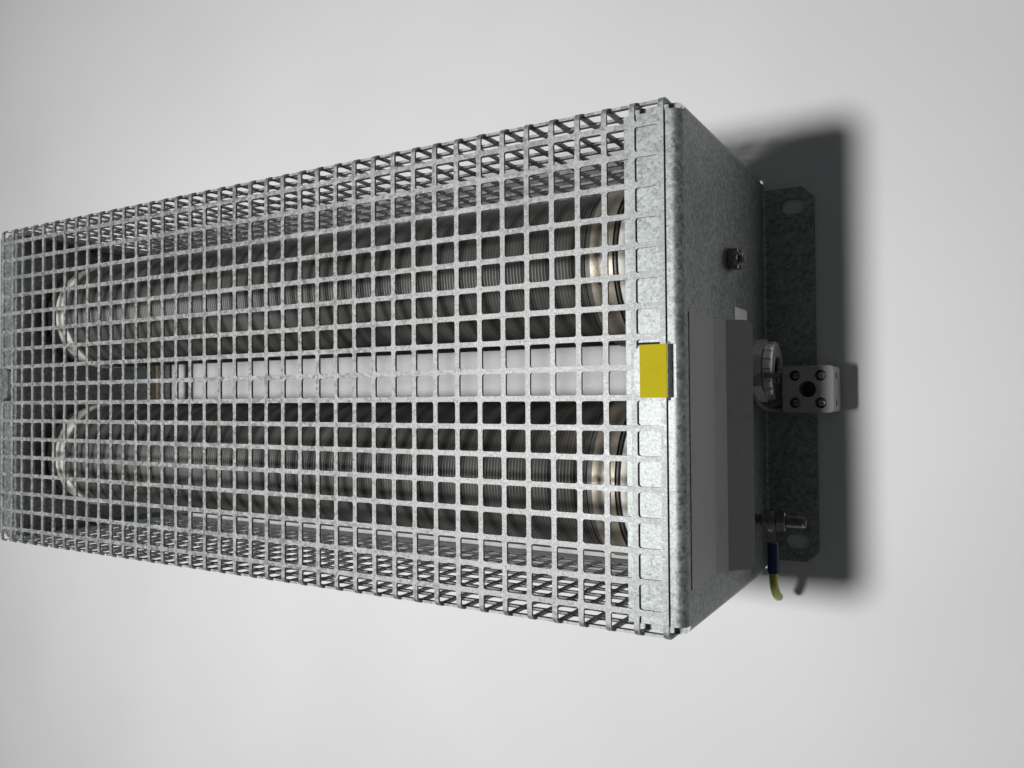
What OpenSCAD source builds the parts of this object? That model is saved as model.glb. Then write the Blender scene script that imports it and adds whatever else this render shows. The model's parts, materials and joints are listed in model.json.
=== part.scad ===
// Housed braking resistor: two wire-wound ceramic tubes on tie rods between folded end plates,
// under one perforated cover. Lengths in millimetres. X runs towards the terminal end, Z up,
// and the origin lies on the mounting surface, midway between the four foot slots.

/* [Housing] */
// Distance between the outer faces of the two end plates
body_len = 423; // [360:1:600]
// Width over the perforated cover
body_w = 185; // [175:1:230]
// Height from the mounting surface to the top of the cover
body_h = 120; // [116:1:160]
// Sheet thickness of the cover
cover_t = 1; // [0.8:0.1:1.2]
// Sheet thickness of the end plates
plate_t = 2; // [1.5:0.1:2.5]
// Inside radius of the cover's two long bends
cover_bend = 2; // [1:0.5:3]
// Inside radius of the end plates' bends
plate_bend = 1.5; // [1:0.5:3]
// Step between the end plate's face and the cover's edge
cover_inset = 5.75; // [5:0.25:8]
// Height of the cover's lower edges above the mounting surface
cover_lift = 3; // [2:0.5:10]
// Depth of the flanges that carry the cover, from the plate's outer face
flange_depth = 20.5; // [18:0.5:30]
// Sideways clearance between the flanges and the cover
flange_gap = 0.3; // [0.1:0.1:1]

/* [Perforation] */
// Distance between hole centres
hole_pitch = 10.5; // [9:0.25:14]
// Side of the square holes
hole_size = 8.5; // [6:0.25:9.5]

/* [Feet] */
// How far each foot stands out from its end plate
foot_len = 22.5; // [20:0.5:30]
// Width of the feet
foot_w = 169; // [160:1:172]
// Corner chamfer of the feet
foot_chamfer = 5; // [2:0.5:8]
// Distance from the end plate's face to the slot centres
slot_out = 13.5; // [12:0.5:16]
// Spacing of the slots across the body
slot_span = 152; // [140:1:155]
// Width of the mounting slots
slot_w = 7; // [5:0.5:8]
// Overall length of the mounting slots
slot_len = 10.3; // [9:0.1:12]

/* [Cover hooks] */
// Width of the tongue that holds the cover down
hook_w = 18; // [14:1:22]
// Length of the tongue over the cover, from its root
hook_len = 11; // [9:0.5:13]
// Sideways place of the tongue on the terminal end
hook_y_front = -1.5; // [-5:0.5:5]
// Sideways place of the tongue on the far end
hook_y_rear = 0.7; // [-5:0.1:5]

/* [Resistor tubes] */
// Distance between the two tube axes
tube_span = 87.6; // [84:0.2:92]
// Height of the tube axes
tube_z = 63.4; // [58:0.2:70]
// Outside diameter of the ceramic tubes
tube_d = 60; // [50:1:62]
// Bore of the ceramic tubes
tube_bore = 42; // [30:1:46]
// Length of the ceramic tubes
tube_len = 394; // [330:1:400]
// Space behind the far ends of the tubes
tube_back_gap = 5; // [4:0.5:12]
// Thickness of the enamel coat on the ceramic
coat_t = 1.4; // [0.8:0.1:2.5]
// Pitch of the winding's ridges
wind_pitch = 2.8; // [2:0.1:6]
// Height of the winding's ridges
wind_ridge = 0.6; // [0.3:0.1:1]
// Distance from a tube's end to the middle of its clamp band
band_place = 18; // [14:0.5:24]
// Width of the clamp bands
band_w = 9.5; // [7:0.5:12]
// Thickness of the clamp bands
band_t = 1; // [0.6:0.1:1.5]

/* [Tie rods] */
// Diameter of the tie rods
rod_d = 8; // [6:1:8]
// How far the rods stand out of the end plates
rod_out = 12; // [10:0.5:16]
// Width across flats of the rod nuts
rod_nut_af = 13; // [13:0.5:15]
// Height of the rod nuts
rod_nut_h = 6.5; // [5:0.5:8]
// Outside diameter of the rod washers
rod_washer_d = 18; // [16:1:20]
// Thickness of the rod washers
rod_washer_t = 1.6; // [1:0.1:2]

/* [Cable gland] */
// Height of the gland's axis
gland_z = 17; // [16.5:0.5:24]
// Sideways place of the gland's axis
gland_y = 1.1; // [-4:0.1:6]
// Width across flats of the gland body and its locknut
gland_af = 24; // [22:0.5:25]
// Thread diameter of the gland
gland_thread = 20; // [18:0.5:20]
// Cable bore of the gland's seal
gland_bore = 10; // [6:0.5:12]
// Length of the gland's fixed hexagon
gland_hex_h = 4.6; // [4:0.2:6]
// Length of the gland's cap, with its rounded nose
gland_cap_h = 3.8; // [3:0.2:4]

/* [Terminal block] */
// Length of the block along the body
block_l = 20.6; // [19:0.1:24]
// Width of the block across the body
block_w = 20; // [18:0.5:24]
// Height of the block
block_h = 20; // [18:0.5:24]
// Gap between the gland's nose and the block
block_gap = 2.9; // [2.8:0.1:5]
// Sideways place of the block's middle
block_y = -7.3; // [-12:0.1:-4]
// Distance between the two poles
pole_span = 11.7; // [10:0.1:14]
// Distance between the two screws of a pole
screw_span = 10.4; // [9:0.1:14]
// Diameter of the screw wells
well_d = 4.6; // [4:0.1:5.4]
// Diameter of the fixing hole through the middle
fixing_d = 7; // [5:0.1:7]

/* [Leads] */
// Diameter over the leads' sleeving
lead_d = 2.4; // [2:0.1:2.6]

/* [Earth stud] */
// Distance of the stud from the side of the cover
stud_inset = 28.9; // [26:0.1:36]
// Height of the stud
stud_z = 25; // [20:0.5:30]
// Diameter of the stud's thread
stud_d = 5; // [4:0.5:6]
// How far the stud stands out of the plate
stud_out = 21.4; // [19:0.1:26]
// Free shank between the plate and the inner nut
stud_shank = 3.7; // [2:0.1:5]
// Outside diameter of the earth wire
earth_d = 3.7; // [3:0.1:4.2]

/* [Labels] */
// Width of the main label
label_w = 95; // [60:1:100]
// Length of the bowed part between the label's flat part and its flap
label_bow = 8; // [5:0.5:12]
// Angle of the bowed part to the plate
bow_lift = 18; // [10:1:25]
// Angle at which the lower flap stands away
label_lift = 42; // [36:1:55]
// Thickness of the labels
label_t = 0.3; // [0.2:0.1:0.5]

/* [Hidden] */

eps = 0.01;
face_x = body_len / 2;
inner_x = face_x - plate_t;

// Perforation: whole pitches on the top, one hole round each bend, whole pitches on the sides
bar = hole_pitch - hole_size;
cover_len = body_len - 2 * cover_inset;
cols = floor((cover_len - bar) / hole_pitch + eps);
cover_out = cover_bend + cover_t;
cover_half = body_w / 2;
flat_half = cover_half - cover_out;
top_rows = 2 * floor((flat_half - bar / 2) / hole_pitch + eps);
top_edge = top_rows / 2 * hole_pitch + bar / 2;
bend_arc = PI / 2 * (cover_bend + cover_t / 2);
bend_z = body_h - cover_out;
corner_drop = max(0.2, hole_size - (flat_half - top_edge) - bend_arc);
side_top = bend_z - corner_drop;
side_margin = 7;
side_rows = floor((side_top - cover_lift - side_margin - bar) / hole_pitch + eps);

// End plates: what lies under the cover follows its inside
plate_out = plate_bend + plate_t;
seat_z = body_h - cover_t;
plate_half = cover_half - cover_t - flange_gap;
plate_flat = plate_half - plate_out;
wing_foot = 6;
corner_relief = 1.5;
cover_end = cover_len / 2;
hook_gap = 0.3;
hook_root = cover_end + hook_gap;

// Tubes and their fittings
tube_x0 = -inner_x + tube_back_gap;
tube_x1 = tube_x0 + tube_len;
coat_d = tube_d + 2 * coat_t;
wind_d = coat_d + 2 * wind_ridge;
band_fit = 0.05;
coat_margin = 1;
wind_end = band_place - band_w / 2 - coat_margin;
cap_flange_d = tube_d - 4;
cap_flange_t = 2.5;
cap_plug = 6;
cap_fit = 0.4;
spacer_d = 20;
rod_fit = 0.25;
rod_hole_d = rod_d + 2 * rod_fit;
tab_len = 9;
tab_gap = 5;
ear_reach = coat_d / 2 + tab_len / 2 + 1;
band_screw_d = 4;
band_screw_fit = 0.3;
band_head_d = 7;
band_head_h = 2.6;
band_nut_h = 3.2;

// Gland, block and stud chain, each seated on the one before
gland_fit = 0.4;
gland_gap = 0.6;
gland_tail = 7.5;
gland_neck = 2.6;
neck_d = gland_thread - 2;
locknut_h = 4;
seal_d = gland_bore + 4;
seal_h = 6.6;
gland_nose = face_x + gland_hex_h + gland_gap + gland_cap_h;
block_x = gland_nose + block_gap + block_l / 2;
bush_y = -6;
bush_z = 42;
bush_d = 9;
lead_gap = 0.2;
stud_y = stud_inset - cover_half;
stud_hole_gap = 0.2;
stud_head_h = 3.5;
nut_af = 8;
nut_h = 2.8;
tooth_t = 0.8;
lug_t = 1;
spring_t = 1.2;
outer_nut_h = 4;
inner_nut_x = face_x + stud_shank;
tooth_x = inner_nut_x + nut_h;
lug_x = tooth_x + tooth_t;
spring_x = lug_x + lug_t;
outer_nut_x = spring_x + spring_t;
washer_fit = 0.3;
tooth_d = 10;
lug_d = 11;
lug_w = 4.4;
lug_reach = 9;
barrel_len = 8;
spring_d = 9.2;
crimp_len = 13;
crimp_d = 5;
crimp_wall = 0.5;
crimp_x = lug_x + lug_t / 2;
crimp_y = stud_y - lug_reach - 0.3;

label_top = seat_z - 6;
label_y = -28.5;
label_clear = 0.4;
label_r = 3;
small_y = 18;
small_z = 34.5;
small_w = 8.2;
small_h = 19.5;
marker_margin = 2.2;

function circle_points(r, n) = [for (i = [0:n - 1]) [r * cos(i * 360 / n), r * sin(i * 360 / n)]];
function unit(v) = v / norm(v);
function tangent(p, i) = unit(p[min(i + 1, len(p) - 1)] - p[max(i - 1, 0)]);
// Points of a smooth curve through the route, n steps to each leg
function spline(p, n) = concat([for (i = [0:len(p) - 2]) for (j = [0:n - 1])
    let (t = j / n, a = p[max(i - 1, 0)], b = p[i], c = p[i + 1], d = p[min(i + 2, len(p) - 1)])
    b + 0.5 * t * (c - a + t * (2 * a - 5 * b + 4 * c - d + t * (3 * (b - c) + d - a)))],
    [p[len(p) - 1]]);

// A round section swept along a route that never runs straight along Y for long
module sweep(route, d, sides) {
    rings = [for (i = [0:len(route) - 1])
        let (t = tangent(route, i),
             side = unit(cross(t, abs(t[2]) > 0.9 ? [0, 1, 0] : [0, 0, 1])), up = cross(side, t))
        [for (q = circle_points(d / 2, sides)) route[i] + side * q[0] + up * q[1]]];
    last = (len(route) - 1) * sides;
    polyhedron(
        points = [for (r = rings) for (q = r) q],
        faces = concat(
            [[for (k = [0:sides - 1]) k]],
            [[for (k = [sides - 1:-1:0]) last + k]],
            [for (i = [0:len(route) - 2]) for (k = [0:sides - 1])
                [i * sides + k, (i + 1) * sides + k, (i + 1) * sides + (k + 1) % sides,
                 i * sides + (k + 1) % sides]]));
}

// Turns a shape drawn upright so that its height runs along +X
module along_x(x, y, z) { translate([x, y, z]) rotate([0, 90, 0]) children(); }

module hex_prism(af, h) { cylinder(h = h, d = af / cos(30), $fn = 6); }

module ring(d_out, d_in, h, steps = 48) {
    difference() {
        cylinder(h = h, d = d_out, $fn = steps);
        translate([0, 0, -1]) cylinder(h = h + 2, d = d_in, $fn = steps);
    }
}

// ---------- cover ----------

holes_x0 = -(cols * hole_pitch - bar) / 2;

// A bar across the sheet with one tooth between neighbouring holes, drawn from its lower edge
module comb(bar_h, tooth_h) {
    polygon(concat([[-cover_end, 0], [-cover_end, bar_h + tooth_h]],
        [for (i = [0:cols - 1]) let (x = holes_x0 + i * hole_pitch) each [
            [x, bar_h + tooth_h], [x, bar_h], [x + hole_size, bar_h], [x + hole_size, bar_h + tooth_h]]],
        [[cover_end, bar_h + tooth_h], [cover_end, 0]]));
}

module cover_top() {
    translate([0, 0, body_h - cover_t]) linear_extrude(cover_t) for (s = [0, 1]) mirror([0, s]) {
        for (j = [0:top_rows / 2 - 1]) translate([0, j * hole_pitch - bar / 2]) comb(bar, hole_size);
        translate([0, top_edge - bar]) comb(bar, flat_half - top_edge);
    }
}

module cover_side(y) {
    lowest = side_top - side_rows * hole_pitch;
    translate([0, y, 0]) rotate([90, 0, 0]) linear_extrude(cover_t) {
        translate([0, cover_lift]) comb(lowest - cover_lift, hole_size);
        for (k = [1:side_rows - 1]) translate([0, lowest + k * hole_pitch - bar]) comb(bar, hole_size);
        translate([0, side_top - bar]) comb(bar, corner_drop);
    }
}

// Rungs round one bend, between the top's teeth and the side's
module cover_rungs(turn) {
    for (i = [-1:cols - 1]) {
        x = i < 0 ? -cover_end : holes_x0 + i * hole_pitch + hole_size;
        end = i == cols - 1 ? cover_end : holes_x0 + (i + 1) * hole_pitch;
        translate([x, 0, bend_z]) rotate([90, 0, 90]) linear_extrude(end - x) mirror([turn, 0])
            translate([flat_half, 0]) intersection() {
                difference() {
                    circle(r = cover_out, $fn = 48);
                    circle(r = cover_bend, $fn = 48);
                }
                square(cover_out);
            }
    }
}

module perforated_cover() {
    color([0.72, 0.74, 0.76]) {
        cover_top();
        cover_side(cover_half);
        cover_side(cover_t - cover_half);
        cover_rungs(0);
        cover_rungs(1);
    }
}

// ---------- end plates ----------

// Quarter ring of a bend in the end plates' sheet
module bend_section() {
    intersection() {
        difference() {
            circle(r = plate_out, $fn = 48);
            circle(r = plate_bend, $fn = 48);
        }
        square(plate_out);
    }
}

// Foot, face and top flange in one folded section, drawn in X and Z about the face's outer side
module plate_section() {
    out = plate_out;
    translate([-plate_t, out - plate_t / 2]) square([plate_t, seat_z - 2 * out + plate_t / 2]);
    translate([-flange_depth, seat_z - plate_t]) square([flange_depth - out, plate_t]);
    translate([out - plate_t, 0]) square([foot_len - out + plate_t, plate_t]);
    translate([-out, seat_z - out]) bend_section();
    translate([plate_bend, out]) rotate(180) bend_section();
}

module plate_wing() {
    translate([face_x, 0, wing_foot]) linear_extrude(seat_z - plate_out - corner_relief - wing_foot) {
        translate([-plate_out, plate_flat]) bend_section();
        translate([-flange_depth, plate_half - plate_t]) square([flange_depth - plate_out, plate_t]);
    }
}

module hook_tongue(y) {
    step = 0.8;
    over = body_h + plate_t;
    tip = hook_root - hook_len;
    intersection() {
        translate([0, y + hook_w / 2, 0]) rotate([90, 0, 0]) linear_extrude(hook_w) polygon([
            [hook_root + 3, seat_z], [hook_root + 1 + step, seat_z], [hook_root + 1, over],
            [tip, over], [tip, body_h], [hook_root, body_h], [hook_root + step, seat_z - plate_t],
            [hook_root + 3, seat_z - plate_t]]);
        translate([0, y, seat_z - plate_t - 1]) linear_extrude(plate_t * 2 + cover_t + 2) {
            translate([tip + 4, -hook_w / 2]) square([hook_len + 4, hook_w]);
            translate([tip, -hook_w / 2 + 4]) square([hook_len + 4, hook_w - 8]);
            for (s = [-1, 1]) translate([tip + 4, s * (hook_w / 2 - 4)]) circle(r = 4, $fn = 32);
        }
    }
}

module slot_cut() {
    for (s = [-1, 1]) for (e = [-1, 1])
        translate([face_x + slot_out + e * (slot_len - slot_w) / 2, s * slot_span / 2, -1])
            cylinder(h = plate_t + 2, d = slot_w, $fn = 32);
    for (s = [-1, 1]) translate([face_x + slot_out - (slot_len - slot_w) / 2,
        s * slot_span / 2 - slot_w / 2, -1]) cube([slot_len - slot_w, slot_w, plate_t + 2]);
}

// Cuts the foot to its width and chamfers its corners
module foot_trim() {
    far = face_x + foot_len;
    for (s = [0, 1]) mirror([0, s, 0]) {
        translate([face_x + eps, foot_w / 2, -1]) cube([foot_len + 1, plate_half, plate_out + 1]);
        translate([0, 0, -1]) linear_extrude(plate_t + 2) polygon([
            [far - foot_chamfer, foot_w / 2], [far, foot_w / 2 - foot_chamfer],
            [far + 1, foot_w / 2 - foot_chamfer], [far + 1, foot_w / 2 + 1],
            [far - foot_chamfer, foot_w / 2 + 1]]);
    }
}

module end_plate(hook_y) {
    union() {
        difference() {
            union() {
                translate([face_x, plate_flat, 0]) rotate([90, 0, 0])
                    linear_extrude(2 * plate_flat) plate_section();
                for (s = [0, 1]) mirror([0, s, 0]) plate_wing();
            }
            foot_trim();
            slot_cut();
            for (s = [-1, 1]) along_x(inner_x - 1, s * tube_span / 2, tube_z)
                cylinder(h = plate_t + 2, d = rod_hole_d, $fn = 48);
            translate([hook_root - hook_len - 1, hook_y - hook_w / 2 - 1, seat_z - plate_t - 1])
                cube([hook_len + 2, hook_w + 2, plate_t + 2]);
        }
        hook_tongue(hook_y);
    }
}

module front_end_plate() {
    color([0.55, 0.57, 0.58]) difference() {
        end_plate(hook_y_front);
        along_x(inner_x - 1, gland_y, gland_z)
            cylinder(h = plate_t + 2, d = gland_thread + gland_fit, $fn = 64);
        along_x(inner_x - 1, bush_y, bush_z) cylinder(h = plate_t + 2, d = bush_d, $fn = 48);
        along_x(inner_x - 1, stud_y, stud_z)
            cylinder(h = plate_t + 2, d = stud_d + 2 * stud_hole_gap, $fn = 48);
    }
}

module rear_end_plate() {
    color([0.55, 0.57, 0.58]) mirror([1, 0, 0]) end_plate(hook_y_rear);
}

// ---------- resistor tubes ----------

module ceramic_tube(side) {
    color([0.86, 0.82, 0.74]) along_x(tube_x0, side * tube_span / 2, tube_z)
        ring(tube_d, tube_bore, tube_len, 64);
}

// Enamelled winding: one ridge for each turn, between plain collars beside the bands
module winding(side) {
    length = tube_len - 2 * wind_end;
    collar = band_w + 3;
    ridges = floor((length - 2 * collar) / wind_pitch + eps);
    start = (length - ridges * wind_pitch) / 2;
    profile = concat(
        [[tube_d / 2, 0], [coat_d / 2, 0], [coat_d / 2, start]],
        [for (i = [0:ridges - 1]) each [
            [wind_d / 2, start + (i + 0.5) * wind_pitch], [coat_d / 2, start + (i + 1) * wind_pitch]]],
        [[coat_d / 2, length], [tube_d / 2, length]]);
    color([0.3, 0.29, 0.27]) along_x(tube_x0 + wind_end, side * tube_span / 2, tube_z)
        rotate_extrude($fn = 48) polygon(profile);
}

// Clamp band round the winding's end, with two ears drawn together by a screw
module clamp_band(side, end_x, lean) {
    color([0.78, 0.78, 0.76])
    translate([end_x, side * tube_span / 2, tube_z]) rotate([lean, 0, 0])
    translate([-band_w / 2, 0, 0]) difference() {
        union() {
            rotate([0, 90, 0]) cylinder(h = band_w, d = coat_d + 2 * (band_t + band_fit), $fn = 64);
            translate([0, -tab_gap / 2 - band_t, -coat_d / 2 - tab_len])
                cube([band_w, tab_gap + 2 * band_t, tab_len + 2]);
        }
        translate([-1, 0, 0]) rotate([0, 90, 0])
            cylinder(h = band_w + 2, d = coat_d + 2 * band_fit, $fn = 64);
        translate([-1, -tab_gap / 2, -coat_d / 2 - tab_len - 1])
            cube([band_w + 2, tab_gap, tab_len + 4]);
        translate([band_w / 2, 0, -ear_reach]) rotate([90, 0, 0])
            cylinder(h = 4 * tab_gap, d = band_screw_d + band_screw_fit, center = true, $fn = 24);
    }
}

band_front_x = tube_x1 - band_place;
band_rear_x = tube_x0 + band_place;
band_lean = 40;

module left_front_band() { clamp_band(1, band_front_x, -band_lean); }
module right_front_band() { clamp_band(-1, band_front_x, band_lean); }
module left_rear_band() { clamp_band(1, band_rear_x, -band_lean); }
module right_rear_band() { clamp_band(-1, band_rear_x, band_lean); }

// Screw, nut and washers that draw each band's ears together
module band_screw() {
    grip = tab_gap + 2 * band_t;
    translate([0, 0, -ear_reach]) rotate([90, 0, 0]) {
        translate([0, 0, -grip / 2 - band_nut_h - 1])
            cylinder(h = grip + band_nut_h + 2, d = band_screw_d, $fn = 24);
        translate([0, 0, grip / 2]) cylinder(h = band_head_h, d = band_head_d, $fn = 32);
        translate([0, 0, -grip / 2 - band_nut_h]) hex_prism(band_head_d, band_nut_h);
    }
}

module band_screws() {
    color([0.7, 0.68, 0.6]) for (x = [band_front_x, band_rear_x]) for (s = [-1, 1])
        translate([x, s * tube_span / 2, tube_z]) rotate([-s * band_lean, 0, 0]) band_screw();
}

// Caps that centre the tubes on their rods; the front ones reach out to the plate as spacers
module tube_cap(spacer) {
    difference() {
        union() {
            translate([0, 0, -cap_plug]) cylinder(h = cap_plug + eps, d = tube_bore - cap_fit, $fn = 64);
            cylinder(h = cap_flange_t, d = cap_flange_d, $fn = 64);
            cylinder(h = spacer, d = spacer_d, $fn = 48);
        }
        translate([0, 0, -cap_plug - 1]) cylinder(h = cap_plug + spacer + 2, d = rod_hole_d, $fn = 48);
    }
}

module front_tube_caps() {
    color([0.8, 0.77, 0.7]) for (s = [-1, 1])
        along_x(tube_x1, s * tube_span / 2, tube_z) tube_cap(inner_x - tube_x1);
}

module rear_tube_caps() {
    color([0.8, 0.77, 0.7]) for (s = [-1, 1])
        translate([tube_x0, s * tube_span / 2, tube_z]) rotate([0, -90, 0]) tube_cap(tube_back_gap);
}

module tie_rod(side) {
    color([0.75, 0.75, 0.72]) along_x(-face_x - rod_out, side * tube_span / 2, tube_z) {
        chamfer = 0.8;
        length = body_len + 2 * rod_out;
        rotate_extrude($fn = 48) polygon([[0, 0], [rod_d / 2 - chamfer, 0], [rod_d / 2, chamfer],
            [rod_d / 2, length - chamfer], [rod_d / 2 - chamfer, length], [0, length]]);
    }
}

module rod_washers(end) {
    color([0.78, 0.78, 0.76]) for (s = [-1, 1])
        along_x(end > 0 ? face_x : -face_x - rod_washer_t, s * tube_span / 2, tube_z)
            ring(rod_washer_d, rod_d + 0.4, rod_washer_t);
}

// Hexagon nut whose corners are turned down at both faces
module hex_nut(af, h, bore) {
    difference() {
        intersection() {
            hex_prism(af, h);
            rotate_extrude($fn = 48) polygon([[0, 0], [af / 2 * 0.98, 0], [af / 2 * 1.16, h * 0.16],
                [af / 2 * 1.16, h * 0.84], [af / 2 * 0.98, h], [0, h]]);
        }
        translate([0, 0, -1]) cylinder(h = h + 2, d = bore, $fn = 48);
    }
}

module rod_nuts(end) {
    color([0.8, 0.79, 0.74]) for (s = [-1, 1])
        along_x(end > 0 ? face_x + rod_washer_t : -face_x - rod_washer_t - rod_nut_h,
            s * tube_span / 2, tube_z) rotate([0, 0, 30]) hex_nut(rod_nut_af, rod_nut_h, rod_d);
}

// ---------- wiring ----------

// A point between a band's ears: across the gap, and out from the tube's axis
function between_ears(across, out) = [tube_span / 2 + across * cos(band_lean) - out * sin(band_lean),
    tube_z - across * sin(band_lean) - out * cos(band_lean)];

// Strap that puts the two tubes in series: a tab against one ear of each far band, bent over
// to a level run between the tubes
strap_t = 1.2;
module series_link() {
    tab_out = coat_d / 2 + 2;
    tab_end = coat_d / 2 + tab_len + strap_t;
    bend = between_ears((strap_t - tab_gap) / 2, tab_end);
    color([0.74, 0.62, 0.4]) difference() {
        translate([band_rear_x - band_w / 2, 0, 0]) rotate([90, 0, 90]) linear_extrude(band_w) {
            for (s = [0, 1]) mirror([s, 0]) {
                translate([tube_span / 2, tube_z]) rotate(-band_lean)
                    translate([-tab_gap / 2, -tab_end]) square([strap_t, tab_end - tab_out]);
                translate(bend) circle(d = strap_t, $fn = 24);
            }
            translate([-bend[0], bend[1] - strap_t / 2]) square([2 * bend[0], strap_t]);
        }
        for (s = [0, 1]) mirror([0, s, 0]) translate([band_rear_x, tube_span / 2, tube_z])
            rotate([-band_lean, 0, 0]) translate([0, 0, -ear_reach]) rotate([90, 0, 0])
                cylinder(h = tab_gap, d = band_screw_d + band_screw_fit, center = true, $fn = 24);
    }
}

// Insulating bush with a lip on each side of the plate
module lead_bush() {
    lip_t = 1.5;
    lip_d = bush_d + 4;
    length = plate_t + 2 * lip_t;
    color([0.16, 0.16, 0.16]) along_x(inner_x - lip_t, bush_y, bush_z) difference() {
        union() {
            cylinder(h = lip_t, d = lip_d, $fn = 48);
            cylinder(h = length, d = bush_d, $fn = 48);
            translate([0, 0, plate_t + lip_t]) cylinder(h = lip_t, d = lip_d, $fn = 48);
        }
        translate([0, 0, -1]) cylinder(h = length + 2, d = 2 * lead_d + 4 * lead_gap, $fn = 48);
    }
}

sleeve_d = well_d + 0.6;
sleeve_inset = 3.4;
clamp_screw_d = 3;
clamp_screw_h = 5;
screw_lift = 0.4;
pole_a = block_y + pole_span / 2;
pole_b = block_y - pole_span / 2;
entry_z = plate_t + block_h * 0.58;
entry_x = block_x - block_l / 2;
gland_top = gland_z + gland_af / 2 / cos(30);
drop_x = gland_nose + block_gap / 2;
lead_start = between_ears(0, ear_reach + band_screw_d / 2 + lead_d / 2 + lead_gap);
bush_lead = lead_d / 2 + lead_gap;
entry_depth = sleeve_inset;
entry_d = lead_d + 4 * lead_gap;
funnel = 1.6;

lead_a_route = [[band_front_x, lead_start[0], lead_start[1]], [184, 16, 31], [196, 6, 38],
    [201, -1.2, 40.6], [206, -4.2, 41.9], [inner_x, bush_y + bush_lead, bush_z],
    [face_x + 2.5, bush_y + 1.6, bush_z - 0.2],
    [face_x + 5, -2.5, gland_top + 5], [gland_nose - 1, pole_a, gland_top + 1.5],
    [drop_x, pole_a, gland_top - 2.5], [drop_x + 0.1, pole_a, entry_z + 4],
    [entry_x + 0.4, pole_a, entry_z], [entry_x + entry_depth, pole_a, entry_z]];
lead_b_route = [[band_front_x, -lead_start[0], lead_start[1]], [184, -18, 31], [196, -12, 38],
    [201, -9.4, 40.6], [206, -7.7, 41.9], [inner_x, bush_y - bush_lead, bush_z],
    [face_x + 2.5, bush_y - 1.6, bush_z - 0.2],
    [face_x + 4.5, -13, bush_z - 6], [face_x + 6.5, -15.6, 26], [face_x + 9, -15.4, 17],
    [entry_x, pole_b, entry_z], [entry_x + entry_depth, pole_b, entry_z]];

module lead_a() { color([0.3, 0.3, 0.22]) sweep(spline(lead_a_route, 4), lead_d, 8); }
module lead_b() { color([0.55, 0.54, 0.5]) sweep(spline(lead_b_route, 4), lead_d, 8); }

// ---------- cable gland ----------

// Thread through the plate, fixed hexagon outside it, and the neck that the cap goes on
module gland_body() {
    hex_x = plate_t + gland_tail;
    length = hex_x + gland_hex_h + gland_neck;
    color([0.8, 0.8, 0.78]) along_x(inner_x - gland_tail, gland_y, gland_z) difference() {
        union() {
            cylinder(h = hex_x, d = gland_thread, $fn = 64);
            translate([0, 0, hex_x]) rotate([0, 0, 30]) hex_prism(gland_af, gland_hex_h);
            cylinder(h = length, d = neck_d, $fn = 64);
        }
        translate([0, 0, -1]) cylinder(h = length + 2, d = seal_d, $fn = 64);
    }
}

module gland_locknut() {
    color([0.78, 0.78, 0.76]) along_x(inner_x - locknut_h, gland_y, gland_z)
        rotate([0, 0, 30]) hex_nut(gland_af, locknut_h, gland_thread);
}

module gland_seal() {
    color([0.1, 0.1, 0.1]) along_x(face_x + gland_hex_h + gland_neck - seal_h, gland_y, gland_z)
        ring(seal_d, gland_bore, seal_h, 64);
}

// Cap with a fluted grip and a rounded nose
module gland_cap() {
    cap_d = gland_af + 1.4;
    nose = 1.4;
    flutes = 18;
    flute_r = 1.1;
    color([0.84, 0.84, 0.82]) along_x(gland_nose - gland_cap_h, gland_y, gland_z) difference() {
        rotate_extrude($fn = 64) difference() {
            union() {
                square([cap_d / 2, gland_cap_h - nose]);
                square([cap_d / 2 - nose, gland_cap_h]);
                translate([cap_d / 2 - nose, gland_cap_h - nose]) circle(r = nose, $fn = 32);
            }
            translate([-cap_d, -1]) square([cap_d, gland_cap_h + 2]);
        }
        translate([0, 0, -1]) cylinder(h = gland_cap_h + 2, d = gland_bore + 2, $fn = 64);
        translate([0, 0, -1]) cylinder(h = gland_neck - gland_gap + 1.2, d = neck_d + 0.2, $fn = 64);
        for (i = [0:flutes - 1]) rotate([0, 0, i * 360 / flutes])
            translate([cap_d / 2 + flute_r / 2, 0, -1])
                cylinder(h = gland_cap_h + 2, r = flute_r, $fn = 16);
    }
}

// ---------- terminal block ----------

module block_sites() {
    for (y = [pole_a, pole_b]) for (e = [-1, 1]) translate([block_x + e * screw_span / 2, y, 0]) children();
}

module terminal_block() {
    r = 1.6;
    color([0.93, 0.93, 0.91]) difference() {
        translate([block_x, block_y, plate_t]) linear_extrude(block_h) {
            square([block_l - 2 * r, block_w], center = true);
            square([block_l, block_w - 2 * r], center = true);
            for (sx = [-1, 1]) for (sy = [-1, 1])
                translate([sx * (block_l / 2 - r), sy * (block_w / 2 - r)]) circle(r = r, $fn = 24);
        }
        translate([block_x, block_y, plate_t - 1]) cylinder(h = block_h + 2, d = fixing_d, $fn = 48);
        block_sites() translate([0, 0, entry_z]) cylinder(h = block_h, d = well_d, $fn = 32);
        for (y = [pole_a, pole_b]) along_x(block_x - block_l, y, entry_z) {
            cylinder(h = 2 * block_l, d = entry_d, $fn = 32);
            translate([0, 0, block_l / 2])
                cylinder(h = funnel, d1 = entry_d + 2 * funnel, d2 = entry_d, $fn = 32);
            translate([0, 0, block_l / 2 + sleeve_inset])
                cylinder(h = block_l - 2 * sleeve_inset, d = sleeve_d, $fn = 32);
        }
    }
}

// Brass tubes that take the wires from both ends, tapped from above for their screws
module terminal_sleeves() {
    color([0.78, 0.65, 0.35]) difference() {
        for (y = [pole_a, pole_b]) along_x(block_x - block_l / 2 + sleeve_inset, y, entry_z)
            ring(sleeve_d, lead_d + 3 * lead_gap, block_l - 2 * sleeve_inset, 32);
        block_sites() translate([0, 0, entry_z]) cylinder(h = well_d, d = clamp_screw_d, $fn = 24);
    }
}

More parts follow.
